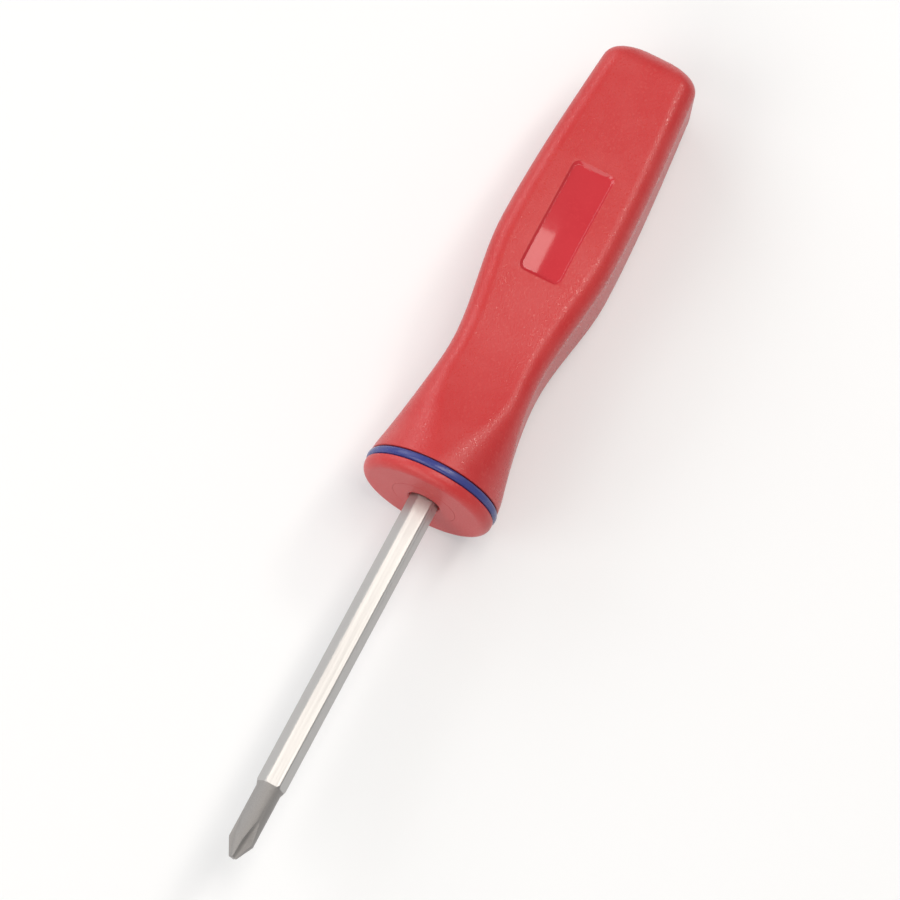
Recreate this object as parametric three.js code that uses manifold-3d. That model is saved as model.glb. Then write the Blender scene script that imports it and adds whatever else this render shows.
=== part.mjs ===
// Cross-head screwdriver with a fixed blade. A hexagonal steel blade is moulded into a plastic core, the core
// into the handle's body, and a coloured ring in a groove behind the nose tells the type of drive.
//
// Lengths are in millimetres. In the tool's own frame z runs along the axis from the end of the tip to the
// butt, y points out of the flat that carries the badge recess, and x goes across. The finished tool lies
// along +X with the badge facing up, and its origin is the middle of the tip's end face.

import * as THREE from "three";
import { mergeVertices } from "three/addons/utils/BufferGeometryUtils.js";
import Module from "manifold-3d";

const wasm = await Module();
wasm.setup();

const degrees = THREE.MathUtils.degToRad;

// Blade: one hexagonal bar
const HEX_SIDES = 6;
const HEX_ACROSS_FLATS = 5;
const HEX_CORNER_RADIUS = 0.3;
const BLADE_REACH = 75; // from the end of the tip to the nose of the handle
const TANG_LENGTH = 58; // from the nose to the end of the bar inside the handle
const BLADE_CLOCKING = 6; // degrees from the badge flat to a flat of the hexagon

// Cross tip, turned and fluted on the end of the bar
const TIP_DIAMETER = 4.8;
const TIP_LENGTH = 13.9; // from the end to the start of the shoulder
const SHOULDER_LENGTH = 1.3; // along which the turned tip runs out into the hexagon
const TIP_END_DIAMETER = 1.5;
const TIP_HALF_ANGLE = 26.5; // degrees between the axis and the edge of a wing
const FLUTE_COUNT = 4;
const FLUTE_CLOCKING = 27; // degrees from a flat of the hexagon to a flute
const FLUTE_ANGLE = 92; // degrees between the two walls of a flute
const FLUTE_ROOT_RADIUS = 0.4; // from the axis to the root of a flute, at the end of the tip
const FLUTE_LENGTH = 7.7; // from the end of the tip to where the root runs out

// Ears, swaged flat from the tang so that the blade can neither turn nor pull out
const EAR_SPAN = 9;
const EAR_THICKNESS = 2.6;
const EAR_LENGTH = 8;
const EAR_SLOPE = 2.4; // length over which an ear runs out into the bar
const EAR_FROM_NOSE = 40; // to the middle of the ears

// Handle body: round at the nose, four flats with rounded corners from the waist to the butt
const HANDLE_SIDES = 4;
const HANDLE_LENGTH = 96.5;
const NOSE_RADIUS = 12.9;
const NOSE_EDGE_RADIUS = 1.8;
const WAIST_FROM_NOSE = 28.7;
const WAIST_HALF_WIDTH = 8.9;
const BELLY_FROM_NOSE = 53;
const BELLY_HALF_WIDTH = 11.4;
const TAIL_HALF_WIDTH = 9.35; // where the dome of the butt begins
const DOME_LENGTH = 5.6;
const DOME_FULLNESS = 2.2; // 2 is an ellipse, more is squarer
const DOME_CAP_HALF_WIDTH = 1.6; // of the small flat in the middle of the butt
const FLARE_SLOPE = -0.24; // change of half width per millimetre, just behind the ring
const TAIL_SLOPE = -0.08; // the same at the start of the dome
const CORNER_RADIUS = 3.6;
const FACETS_FROM_NOSE = 24; // where the flats have come fully out of the round flare

// Badge recess, in the middle of the upper flat
const BADGE_FROM_NOSE = 56.6; // to its middle
const BADGE_LENGTH = 23.9;
const BADGE_WIDTH = 8.5;
const BADGE_CORNER_RADIUS = 1.4;
const BADGE_DEPTH = 0.5;

// Core inside the body: a round spigot that shows on the nose, and a part that follows the body's shape
const SPIGOT_RADIUS = 6.3;
const NOSE_WALL = 8; // from the nose to the front of the core's wide part
const SIDE_WALL = 3; // of the body, round the core
const BUTT_WALL = 8;
const RELIEF_RADIUS = 3.3; // of the shallow sink round the blade in the nose
const RELIEF_DEPTH = 0.8;

// Coloured ring
const RING_SECTION = 1.7; // width and height of its square section
const RING_SIDES = 4;
const RING_CORNER_RADIUS = 0.6;
const RING_FROM_NOSE = 3.2; // to the middle of the ring
const RING_PROUD = 0.2; // how far it stands out of the nose
const RING_LAND = 0.9; // from the groove to the start of the flare

// Fits
const MOULDED_GAP = 0.1; // between a piece and the plastic moulded round it
const GROOVE_GAP = 0.1; // between the ring and its groove
const OVERCUT = 2; // how far a cutter reaches past what it cuts

// Facets
const ROUND_STEPS = 48; // round a full circle
const RING_CORNER_STEPS = 3;
const HANDLE_CORNER_STEPS = 8;
const CORE_CORNER_STEPS = 4;
const HEX_CORNER_STEPS = 3;
const NOSE_EDGE_STEPS = 4;
const SPAN_STEPS = 9; // along each stretch between two stations of the handle
const DOME_STEPS = 7;
const LEAST_FLAT = 0.3; // half the flat that is kept where the handle is round

const GROOVE_HALF_WIDTH = RING_SECTION / 2 + GROOVE_GAP;
const FLARE_FROM_NOSE = RING_FROM_NOSE + GROOVE_HALF_WIDTH + RING_LAND;
const TAIL_FROM_NOSE = HANDLE_LENGTH - DOME_LENGTH;
const RING_RADIUS = NOSE_RADIUS + RING_PROUD - RING_SECTION / 2; // to the middle of the ring's section

// Solids

// A geometry with closed faces as a solid that can be joined and cut.
function solid(geometry) {
  const bare = new THREE.BufferGeometry();
  bare.setAttribute("position", geometry.getAttribute("position"));
  bare.setIndex(geometry.getIndex());
  const merged = mergeVertices(bare);
  return new wasm.Manifold(
    new wasm.Mesh({
      numProp: 3,
      vertProperties: merged.getAttribute("position").array,
      triVerts: new Uint32Array(merged.getIndex().array),
    }),
  );
}

// A solid as a named mesh of the given material.
function mesh(name, material, shape) {
  const { vertProperties, triVerts } = shape.getMesh();
  const geometry = new THREE.BufferGeometry();
  geometry.setAttribute("position", new THREE.BufferAttribute(vertProperties, 3));
  geometry.setIndex(new THREE.BufferAttribute(triVerts, 1));
  geometry.computeVertexNormals();
  const made = new THREE.Mesh(geometry, material);
  made.name = name;
  return made;
}

// A solid turned about the z axis from [radius, z] points. They run from low to high z and end on the axis, or
// go round in a closed loop.
function turned(points) {
  const profile = points.map(([radius, z]) => new THREE.Vector2(radius, z));
  return solid(new THREE.LatheGeometry(profile, ROUND_STEPS).rotateX(Math.PI / 2));
}

// A plain round bar along z.
function bar(radius, from, to) {
  return turned([
    [0, from],
    [radius, from],
    [radius, to],
    [0, to],
  ]);
}

// A flat outline given in x and y, extruded along z.
function prism(points, from, to) {
  const options = { depth: to - from, bevelEnabled: false };
  return solid(new THREE.ExtrudeGeometry(new THREE.Shape(points), options).translate(0, 0, from));
}

// A flat outline given in x and z, extruded along y.
function slab(shape, from, to) {
  const options = { depth: to - from, bevelEnabled: false, curveSegments: HANDLE_CORNER_STEPS };
  const upright = new THREE.ExtrudeGeometry(shape, options).rotateX(Math.PI / 2);
  return solid(upright.translate(0, to, 0));
}

// A regular polygon with rounded corners, anticlockwise, with one flat facing +y.
function roundedPolygon(sides, apothem, cornerRadius, arcSteps) {
  const half = Math.PI / sides;
  const reach = (apothem - cornerRadius) / Math.cos(half);
  const points = [];
  for (let corner = 0; corner < sides; corner++) {
    const direction = Math.PI / 2 + half * (2 * corner + 1);
    for (let step = 0; step <= arcSteps; step++) {
      const angle = direction + half * ((2 * step) / arcSteps - 1);
      const x = reach * Math.cos(direction) + cornerRadius * Math.cos(angle);
      const y = reach * Math.sin(direction) + cornerRadius * Math.sin(angle);
      points.push(new THREE.Vector2(x, y));
    }
  }
  return points;
}

// A solid skinned over sections, each an outline at its own z, with the same number of points in each.
function loft(sections) {
  const count = sections[0].points.length;
  const positions = [];
  const index = [];
  for (const { points, z } of sections) {
    for (const point of points) positions.push(point.x, point.y, z);
  }
  for (let ring = 0; ring + 1 < sections.length; ring++) {
    for (let i = 0; i < count; i++) {
      const next = (i + 1) % count;
      const [a, b] = [ring * count + i, ring * count + next];
      index.push(a, b, b + count, a, b + count, a + count);
    }
  }
  const last = (sections.length - 1) * count;
  for (let i = 1; i + 1 < count; i++) {
    index.push(0, i + 1, i);
    index.push(last, last + i, last + i + 1);
  }
  const geometry = new THREE.BufferGeometry();
  geometry.setAttribute("position", new THREE.Float32BufferAttribute(positions, 3));
  geometry.setIndex(index);
  return solid(geometry);
}

// Blade

// The hexagonal bar from one z to another, larger all round by a gap. One of its flats faces +y.
function hexBar(from, to, gap) {
  const apothem = HEX_ACROSS_FLATS / 2 + gap;
  const outline = roundedPolygon(HEX_SIDES, apothem, HEX_CORNER_RADIUS + gap, HEX_CORNER_STEPS);
  return prism(outline, from, to);
}

// The part of the bar inside the handle with its ears, from a z at or before the nose. It is larger all round
// by a gap.
function tang(from, gap) {
  const side = EAR_SPAN / 2 + gap;
  const [straight, whole] = [EAR_LENGTH / 2 + gap, EAR_LENGTH / 2 + EAR_SLOPE + gap];
  const outline = new THREE.Shape([
    new THREE.Vector2(0, -whole),
    new THREE.Vector2(side, -straight),
    new THREE.Vector2(side, straight),
    new THREE.Vector2(0, whole),
    new THREE.Vector2(-side, straight),
    new THREE.Vector2(-side, -straight),
  ]);
  const face = EAR_THICKNESS / 2 + gap;
  const ears = slab(outline, -face, face).translate([0, 0, EAR_FROM_NOSE]);

  // The two dies that press the bar flat leave its sides standing only beyond the ears.
  const die = new THREE.BoxGeometry(HEX_ACROSS_FLATS * 2, HEX_ACROSS_FLATS, EAR_LENGTH - 2 * gap);
  const above = solid(die).translate([0, face + HEX_ACROSS_FLATS / 2, EAR_FROM_NOSE]);
  const below = above.mirror([0, 1, 0]);
  return hexBar(from, TANG_LENGTH + gap, gap).subtract(above).subtract(below).add(ears);
}

// What turning leaves of the bar: the pointed tip and the shoulder, and everything beyond them.
function turnedEnvelope() {
  const end = TIP_END_DIAMETER / 2;
  const radius = TIP_DIAMETER / 2;
  const pointLength = (radius - end) / Math.tan(degrees(TIP_HALF_ANGLE));
  const shoulderEnd = HEX_ACROSS_FLATS / 2 / Math.cos(Math.PI / HEX_SIDES);
  const clear = HEX_ACROSS_FLATS + EAR_SPAN;
  const barEnd = BLADE_REACH + TANG_LENGTH + OVERCUT;
  return turned([
    [0, 0],
    [end, 0],
    [radius, pointLength],
    [radius, TIP_LENGTH],
    [shoulderEnd, TIP_LENGTH + SHOULDER_LENGTH],
    [clear, TIP_LENGTH + SHOULDER_LENGTH],
    [clear, barEnd],
    [0, barEnd],
  ]);
}

// One V-shaped cutter whose root rises from the end of the tip and runs out of its side, facing +y.
function fluteCutter() {
  const rise = TIP_DIAMETER / 2 - FLUTE_ROOT_RADIUS;
  const slope = Math.atan2(rise, FLUTE_LENGTH);
  const height = TIP_DIAMETER;
  const half = height * Math.tan(degrees(FLUTE_ANGLE / 2));
  const notch = [new THREE.Vector2(0, 0), new THREE.Vector2(half, height), new THREE.Vector2(-half, height)];
  const cutter = prism(notch, -OVERCUT, FLUTE_LENGTH + OVERCUT);
  return cutter.rotate([-THREE.MathUtils.radToDeg(slope), 0, 0]).translate([0, FLUTE_ROOT_RADIUS, 0]);
}

// The blade as it sits in the handle, clocked from the place where a flat of the hexagon faces +y.
function blade() {
  const shank = hexBar(0, BLADE_REACH, 0);
  let shape = shank.add(tang(0, 0).translate([0, 0, BLADE_REACH])).intersect(turnedEnvelope());
  const pitch = 360 / FLUTE_COUNT;
  for (let flute = 0; flute < FLUTE_COUNT; flute++) {
    shape = shape.subtract(fluteCutter().rotate([0, 0, FLUTE_CLOCKING + flute * pitch]));
  }
  return shape.rotate([0, 0, BLADE_CLOCKING]);
}

// Handle

// A cubic from one station of the handle to the next, which keeps the half width and slope of both.
function between(start, end, z) {
  const span = end.z - start.z;
  const t = (z - start.z) / span;
  const swing = t * t * (3 - 2 * t);
  const leave = t * (1 - t) * (1 - t) * span * start.slope;
  const arrive = t * t * (t - 1) * span * end.slope;
  return start.halfWidth + (end.halfWidth - start.halfWidth) * swing + leave + arrive;
}

const FLARE = { z: FLARE_FROM_NOSE, halfWidth: NOSE_RADIUS, slope: FLARE_SLOPE };
const WAIST = { z: WAIST_FROM_NOSE, halfWidth: WAIST_HALF_WIDTH, slope: 0 };
const BELLY = { z: BELLY_FROM_NOSE, halfWidth: BELLY_HALF_WIDTH, slope: 0 };
const TAIL = { z: TAIL_FROM_NOSE, halfWidth: TAIL_HALF_WIDTH, slope: TAIL_SLOPE };

// Half the width of the handle across its flats, at a distance behind the nose.
function halfWidth(z) {
  if (z <= FLARE.z) return NOSE_RADIUS;
  if (z <= WAIST.z) return between(FLARE, WAIST, z);
  if (z <= BELLY.z) return between(WAIST, BELLY, z);
  if (z <= TAIL.z) return between(BELLY, TAIL, z);
  const t = (z - TAIL.z) / DOME_LENGTH;
  const straight = TAIL.halfWidth + TAIL.slope * (z - TAIL.z);
  return straight * (1 - t ** DOME_FULLNESS) ** (1 / DOME_FULLNESS);
}

// The radius of the handle's corners: full round at the ring, a plain corner once the flats are out.
function cornerRadius(z, width) {
  const facets = THREE.MathUtils.smoothstep(z, FLARE.z, FACETS_FROM_NOSE);
  const wanted = THREE.MathUtils.lerp(width, CORNER_RADIUS, facets);
  return Math.min(wanted, width - LEAST_FLAT);
}

// The places along the handle where its shape is taken, from the nose to the butt.
function stations() {
  const places = [];
  for (const [start, end] of [
    [FLARE, WAIST],
    [WAIST, BELLY],
    [BELLY, TAIL],
  ]) {
    for (let step = 0; step < SPAN_STEPS; step++) {
      places.push(THREE.MathUtils.lerp(start.z, end.z, step / SPAN_STEPS));
    }
  }
  const lastT = (1 - (DOME_CAP_HALF_WIDTH / TAIL_HALF_WIDTH) ** DOME_FULLNESS) ** (1 / DOME_FULLNESS);
  const lastAngle = Math.asin(lastT);
  for (let step = 0; step <= DOME_STEPS; step++) {
    places.push(TAIL.z + DOME_LENGTH * Math.sin((lastAngle * step) / DOME_STEPS));
  }
  return places;
}

// A cross-section of the handle, smaller all round by an inset.
function handleSection(z, inset, arcSteps) {
  const width = halfWidth(z);
  const radius = Math.max(cornerRadius(z, width) - inset, LEAST_FLAT);
  return { z, points: roundedPolygon(HANDLE_SIDES, width - inset, radius, arcSteps) };
}

// The handle's outer form as one solid, smaller all round by an inset, from the flare to the butt.
function handleForm(inset) {
  return loft(stations().map((z) => handleSection(z, inset, HANDLE_CORNER_STEPS)));
}

// The round nose in front of the flare, with its rounded edge.
function nose() {
  const profile = [[0, 0]];
  for (let step = 0; step <= NOSE_EDGE_STEPS; step++) {
    const angle = ((Math.PI / 2) * step) / NOSE_EDGE_STEPS;
    const radius = NOSE_RADIUS - NOSE_EDGE_RADIUS * (1 - Math.sin(angle));
    profile.push([radius, NOSE_EDGE_RADIUS * (1 - Math.cos(angle))]);
  }
  profile.push([NOSE_RADIUS, FLARE_FROM_NOSE], [0, FLARE_FROM_NOSE]);
  return turned(profile);
}

// The groove that the ring sits in.
function ringGroove() {
  const [front, back] = [RING_FROM_NOSE - GROOVE_HALF_WIDTH, RING_FROM_NOSE + GROOVE_HALF_WIDTH];
  const floor = bar(RING_RADIUS - RING_SECTION / 2 - GROOVE_GAP, front - OVERCUT, back + OVERCUT);
  return bar(NOSE_RADIUS + OVERCUT, front, back).subtract(floor);
}

// The shallow badge recess, whose floor follows the handle's surface.
function badgeRecess() {
  const [x, z, r] = [BADGE_WIDTH / 2, BADGE_LENGTH / 2, BADGE_CORNER_RADIUS];
  const outline = new THREE.Shape();
  outline.absarc(x - r, z - r, r, 0, Math.PI / 2);
  outline.absarc(r - x, z - r, r, Math.PI / 2, Math.PI);
  outline.absarc(r - x, r - z, r, Math.PI, 1.5 * Math.PI);
  outline.absarc(x - r, r - z, r, 1.5 * Math.PI, 2 * Math.PI);
  const upright = slab(outline, 0, BELLY_HALF_WIDTH + OVERCUT).translate([0, 0, BADGE_FROM_NOSE]);
  return upright.subtract(handleForm(BADGE_DEPTH));
}

// The core's outer form, larger all round by a gap. Its spigot starts at the given z.
function coreForm(spigotFrom, gap) {
  const [front, back] = [NOSE_WALL - gap, HANDLE_LENGTH - BUTT_WALL + gap];
  const places = [front, ...stations().filter((z) => z > front && z < back), back];
  const wide = loft(places.map((z) => handleSection(z, SIDE_WALL - gap, CORE_CORNER_STEPS)));
  return wide.add(bar(SPIGOT_RADIUS + gap, spigotFrom, NOSE_WALL + SIDE_WALL));
}

// The core, with the seat that the tang is moulded into and a shallow sink round the blade.
function handleCore() {
  const relief = bar(RELIEF_RADIUS, -OVERCUT, RELIEF_DEPTH);
  const seat = tang(-OVERCUT, MOULDED_GAP).rotate([0, 0, BLADE_CLOCKING]);
  return coreForm(0, 0).subtract(relief).subtract(seat);
}

// The body, with the ring's groove, the badge recess and the space that the core fills.
function handleBody() {
  const outside = nose().add(handleForm(0)).subtract(ringGroove()).subtract(badgeRecess());
  return outside.subtract(coreForm(-OVERCUT, MOULDED_GAP));
}

// The ring, of square section with well-rounded corners.
function colourRing() {
  const section = roundedPolygon(RING_SIDES, RING_SECTION / 2, RING_CORNER_RADIUS, RING_CORNER_STEPS);
  const loop = [...section, section[0]];
  return turned(loop.map(({ x, y }) => [RING_RADIUS + x, RING_FROM_NOSE + y]));
}

// Assembly

const platedSteel = new THREE.MeshStandardMaterial({ color: 0xd5d4d3, roughness: 0.22, metalness: 1 });
const redPlastic = new THREE.MeshStandardMaterial({ color: 0xcb3f45, roughness: 0.42, metalness: 0 });
const redCorePlastic = new THREE.MeshStandardMaterial({ color: 0xc23a40, roughness: 0.35, metalness: 0 });
const blueRubber = new THREE.MeshStandardMaterial({ color: 0x3a4fa5, roughness: 0.45, metalness: 0 });

const handle = new THREE.Group();
handle.position.z = BLADE_REACH;
handle.add(
  mesh("handle_body", redPlastic, handleBody()),
  mesh("handle_core", redCorePlastic, handleCore()),
  mesh("colour_ring", blueRubber, colourRing()),
);

const screwdriver = new THREE.Group();
screwdriver.add(mesh("blade", platedSteel, blade()), handle);
screwdriver.rotation.set(Math.PI / 2, Math.PI / 2, 0); // z along +X, y along +Z

export default screwdriver;
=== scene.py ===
"""Cross-head screwdriver with a fixed blade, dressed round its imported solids.

The tool lies along +X: the middle of the tip's end face is the origin and the flat with the badge recess
faces +Z. Each piece is modelled upright, with the tool's axis along z and the badge flat facing +y, and is
then laid along X. Where nothing else is said, the classes give sizes in millimetres and angles in degrees.
Blender's own lengths are in metres.
"""

import logging
import math
from collections.abc import Callable, Iterable
from dataclasses import dataclass, field, replace
from enum import Enum

import bmesh
import bpy
from mathutils import Matrix, Vector


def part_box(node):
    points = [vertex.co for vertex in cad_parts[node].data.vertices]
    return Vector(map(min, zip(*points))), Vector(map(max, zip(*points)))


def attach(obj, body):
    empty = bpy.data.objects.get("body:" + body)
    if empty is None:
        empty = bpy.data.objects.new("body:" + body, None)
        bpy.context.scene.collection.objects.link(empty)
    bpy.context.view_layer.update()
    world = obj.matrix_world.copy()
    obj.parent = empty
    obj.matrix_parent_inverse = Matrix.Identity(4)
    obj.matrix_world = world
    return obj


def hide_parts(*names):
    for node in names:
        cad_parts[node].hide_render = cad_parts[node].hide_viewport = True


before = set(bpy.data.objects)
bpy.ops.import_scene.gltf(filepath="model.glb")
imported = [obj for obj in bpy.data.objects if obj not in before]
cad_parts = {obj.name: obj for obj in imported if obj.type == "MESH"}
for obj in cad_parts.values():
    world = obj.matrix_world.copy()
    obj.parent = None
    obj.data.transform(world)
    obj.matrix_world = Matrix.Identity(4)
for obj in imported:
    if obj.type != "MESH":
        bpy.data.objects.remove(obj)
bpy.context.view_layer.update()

LOG = logging.getLogger("screwdriver")
BODY = "root"
MM = 0.001
# Points nearer than the first are merged, places nearer than the second count as one, and points nearer than
# the third lie on a plane, all in metres.
MERGE_DISTANCE = 0.002 * MM
NEAR = 1e-6
ON_PLANE = 1e-7
# The share from which a direction counts as straight up.
MOSTLY = 0.9
# The corners of a round outline leave a trace of flat, so that it bridges to the square ones.
ROUND_SHARE = 0.985
FLAT_COUNT = 4
THIRTY_DEGREES = math.pi / 6
# Nearly all values of a noise lie in this span.
NOISE_SPAN = (0.3, 0.7)
NOUGHT_TO_ONE = (0.0, 1.0)
# The colour sockets of a mix, whose names repeat, so that they go by number.
MIX_FIRST, MIX_SECOND, MIX_RESULT = 6, 7, 2
WARM_WHITE = "#FFF8F0"
RIDGE = "ridge"
OUTLINE = "outline"

Triple = tuple[float, float, float]


class Joining(Enum):
    """How one solid is worked into another."""

    CUT = "DIFFERENCE"
    JOIN = "UNION"
    COMMON = "INTERSECT"


class Element(Enum):
    """What is picked in edit mode."""

    EDGES = "EDGE"
    FACES = "FACE"


class Slot(Enum):
    """The record's material slots."""

    STEEL = "plated_steel"
    BODY_PLASTIC = "red_plastic"
    CORE_PLASTIC = "red_core_plastic"
    RUBBER = "blue_rubber"


# The bench: small helpers that stand for the steps of modelling by hand.


def clear_selection() -> None:
    """Leaves edit mode and deselects every object."""
    if bpy.context.object and bpy.context.object.mode != "OBJECT":
        bpy.ops.object.mode_set(mode="OBJECT")
    bpy.ops.object.select_all(action="DESELECT")


def activate(piece: bpy.types.Object) -> None:
    """Makes one piece the only selected and the active object.

    Args:
        piece: The piece to work on.
    """
    clear_selection()
    piece.select_set(True)
    bpy.context.view_layer.objects.active = piece


def start_piece(name: str) -> bpy.types.Object:
    """Adds an empty mesh at the origin and enters edit mode on it.

    Args:
        name: The piece's name.

    Returns:
        The new object, active and in edit mode.
    """
    clear_selection()
    bpy.ops.object.add(type="MESH", enter_editmode=True, location=(0.0, 0.0, 0.0))
    piece = bpy.context.object
    piece.name = name
    piece.data.name = name
    return piece


def edit(piece: bpy.types.Object) -> None:
    """Enters edit mode on a piece with nothing selected.

    Args:
        piece: The piece to edit.
    """
    activate(piece)
    bpy.ops.object.mode_set(mode="EDIT")
    bpy.ops.mesh.select_mode(type="VERT")
    bpy.ops.mesh.select_all(action="DESELECT")


def pick(piece: bpy.types.Object, kind: Element, test: Callable[..., bool]) -> int:
    """Selects, in edit mode, exactly the faces or the edges that pass a test.

    Args:
        piece: The piece being edited.
        kind: Whether faces or edges are picked.
        test: Says whether a face or an edge is wanted.

    Returns:
        How many were picked.
    """
    bpy.ops.mesh.select_mode(type=kind.value)
    bpy.ops.mesh.select_all(action="DESELECT")
    shape = bmesh.from_edit_mesh(piece.data)
    shape.normal_update()
    wanted = [item for item in (shape.faces if kind is Element.FACES else shape.edges) if test(item)]
    for item in wanted:
        item.select_set(True)
    bmesh.update_edit_mesh(piece.data)
    return len(wanted)


def round_corners(size: float, steps: int) -> None:
    """Rounds the selected corners of a flat outline by a size in millimetres."""
    bpy.ops.mesh.bevel(
        offset=size * MM,
        offset_type="ABSOLUTE",
        segments=steps,
        profile=0.5,
        affect="VERTICES",
        clamp_overlap=False,
    )


def round_edges(size: float, steps: int, clamp: bool = False) -> None:
    """Rounds the selected edges by a size in millimetres, clamped or not where they would overlap."""
    bpy.ops.mesh.bevel(
        offset=size * MM,
        offset_type="OFFSET",
        segments=steps,
        profile=0.5,
        affect="EDGES",
        clamp_overlap=clamp,
    )


def extrude(shift: Triple) -> None:
    """Extrudes what is selected in edit mode by a shift in metres."""
    bpy.ops.mesh.extrude_region_move(TRANSFORM_OT_translate={"value": shift})


def close_up() -> None:
    """Merges doubles, turns every face of the piece being edited outwards and leaves edit mode."""
    bpy.ops.mesh.select_mode(type="VERT")
    bpy.ops.mesh.select_all(action="SELECT")
    bpy.ops.mesh.remove_doubles(threshold=MERGE_DISTANCE)
    bpy.ops.mesh.normals_make_consistent(inside=False)
    bpy.ops.object.mode_set(mode="OBJECT")


def apply_modifier(piece: bpy.types.Object, kind: str, **settings: object) -> None:
    """Adds a modifier to a piece and applies it.

    Args:
        piece: The piece to change.
        kind: Blender's name for the modifier's type.
        **settings: The modifier's settings.
    """
    activate(piece)
    modifier = piece.modifiers.new(kind.lower(), kind)
    for name, value in settings.items():
        setattr(modifier, name, value)
    bpy.ops.object.modifier_apply(modifier=modifier.name)


def combine(piece: bpy.types.Object, tool: bpy.types.Object, how: Joining) -> None:
    """Works one solid into another.

    Args:
        piece: The solid that is kept.
        tool: The solid that is used up.
        how: Whether it cuts, joins or leaves what both share.
    """
    apply_modifier(piece, "BOOLEAN", operation=how.value, object=tool, solver="EXACT")
    bpy.data.objects.remove(tool)


def move_in_mesh(piece: bpy.types.Object, turn: Triple, shift: Triple) -> None:
    """Turns and then shifts a piece and puts the new place into its mesh.

    Args:
        piece: The piece to move.
        turn: Euler angles in radians.
        shift: Distances in metres.
    """
    activate(piece)
    piece.rotation_euler = turn
    piece.location = shift
    bpy.ops.object.transform_apply(location=True, rotation=True, scale=True)


def lay_along_axis(piece: bpy.types.Object, start: float) -> None:
    """Lays an upright piece along X with its badge side up.

    Args:
        piece: The upright piece.
        start: Where its foot comes to lie on X, in metres.
    """
    move_in_mesh(piece, (math.pi / 2, 0.0, math.pi / 2), (start, 0.0, 0.0))


def smooth(piece: bpy.types.Object, degrees: float) -> None:
    """Shades a piece smooth, apart from edges sharper than an angle, and keeps its large faces flat.

    Args:
        piece: The piece, in its place.
        degrees: The angle from which an edge stays sharp.
    """
    activate(piece)
    bpy.ops.object.shade_smooth_by_angle(angle=math.radians(degrees))
    apply_modifier(piece, "WEIGHTED_NORMAL", mode="FACE_AREA", keep_sharp=True)
    clear_selection()


@dataclass(frozen=True)
class Section:
    """One outline of a loft: a square with rounded corners.

    Attributes:
        height: Its place along the axis, in millimetres.
        half_width: Half its width across the flats, in millimetres.
        corner: The radius of its corners, in millimetres.
    """

    height: float
    half_width: float
    corner: float


def round_section(height: float, radius: float) -> Section:
    """Gives a section that is round but for a trace of flat."""
    return Section(height, radius, ROUND_SHARE * radius)


def even_steps(start: float, end: float, count: int) -> list[float]:
    """Gives the places that divide a length into a count of even steps, with both its ends."""
    return [start + (end - start) * step / count for step in range(count + 1)]


def flat_first(edge: bmesh.types.BMEdge) -> tuple[int, float]:
    """Orders the edges of an outline so that its four flats come first.

    Args:
        edge: An edge of the outline.

    Returns:
        What the edges are sorted by.
    """
    run = edge.verts[1].co - edge.verts[0].co
    level = min(abs(run.x), abs(run.y)) < ON_PLANE
    return (0 if level else 1, -edge.calc_length())


def loft(name: str, sections: Iterable[Section], corner_steps: int) -> bpy.types.Object:
    """Skins a closed form over sections, each bridged to the next, with both ends filled.

    Args:
        name: The piece's name.
        sections: The outlines in the order in which they are joined.
        corner_steps: How many steps each corner is rounded in.

    Returns:
        The lofted piece in object mode.
    """
    piece = start_piece(name)
    bmesh.from_edit_mesh(piece.data).verts.layers.int.new(OUTLINE)
    count = 0
    for count, section in enumerate(sections, start=1):
        bpy.ops.mesh.select_all(action="DESELECT")
        place = (0.0, 0.0, section.height * MM)
        bpy.ops.mesh.primitive_plane_add(size=2 * section.half_width * MM, location=place)
        round_corners(section.corner, corner_steps)
        bpy.ops.mesh.delete(type="ONLY_FACE")
        shape = bmesh.from_edit_mesh(piece.data)
        number = shape.verts.layers.int[OUTLINE]
        fresh = [vertex for vertex in shape.verts if vertex[number] == 0]
        for vertex in fresh:
            vertex[number] = count
        edges = {edge for vertex in fresh for edge in vertex.link_edges}
        bpy.ops.mesh.select_mode(type="EDGE")
        bpy.ops.mesh.select_all(action="DESELECT")
        for edge in sorted(edges, key=flat_first)[:FLAT_COUNT]:
            edge.select_set(True)
        bpy.ops.mesh.subdivide(number_cuts=1)
        shape = bmesh.from_edit_mesh(piece.data)
        number = shape.verts.layers.int[OUTLINE]
        for vertex in shape.verts:
            if vertex[number] == 0 or vertex.select:
                vertex[number] = count

    def lies_in(*outlines: int) -> Callable[[bmesh.types.BMEdge], bool]:
        """Gives the test for the edges of some of the outlines."""

        def test(edge: bmesh.types.BMEdge) -> bool:
            """Says whether an edge lies in one of them."""
            number = bmesh.from_edit_mesh(piece.data).verts.layers.int[OUTLINE]
            return edge.verts[0][number] == edge.verts[1][number] and edge.verts[0][number] in outlines

        return test

    for low in range(1, count):
        pick(piece, Element.EDGES, lies_in(low, low + 1))
        bpy.ops.mesh.bridge_edge_loops()
    for end in (1, count):
        pick(piece, Element.EDGES, lies_in(end))
        bpy.ops.mesh.edge_face_add()
    close_up()
    return piece


# The finishes.


def linear(colour: str) -> tuple[float, float, float, float]:
    """Turns an sRGB hex colour into linear values.

    Args:
        colour: Six hex digits after a number sign.

    Returns:
        Red, green, blue and an alpha of one.
    """
    channels = [int(colour[start : start + 2], 16) / 255 for start in (1, 3, 5)]
    red, green, blue = (c / 12.92 if c <= 0.04045 else ((c + 0.055) / 1.055) ** 2.4 for c in channels)
    return (red, green, blue, 1.0)


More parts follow.
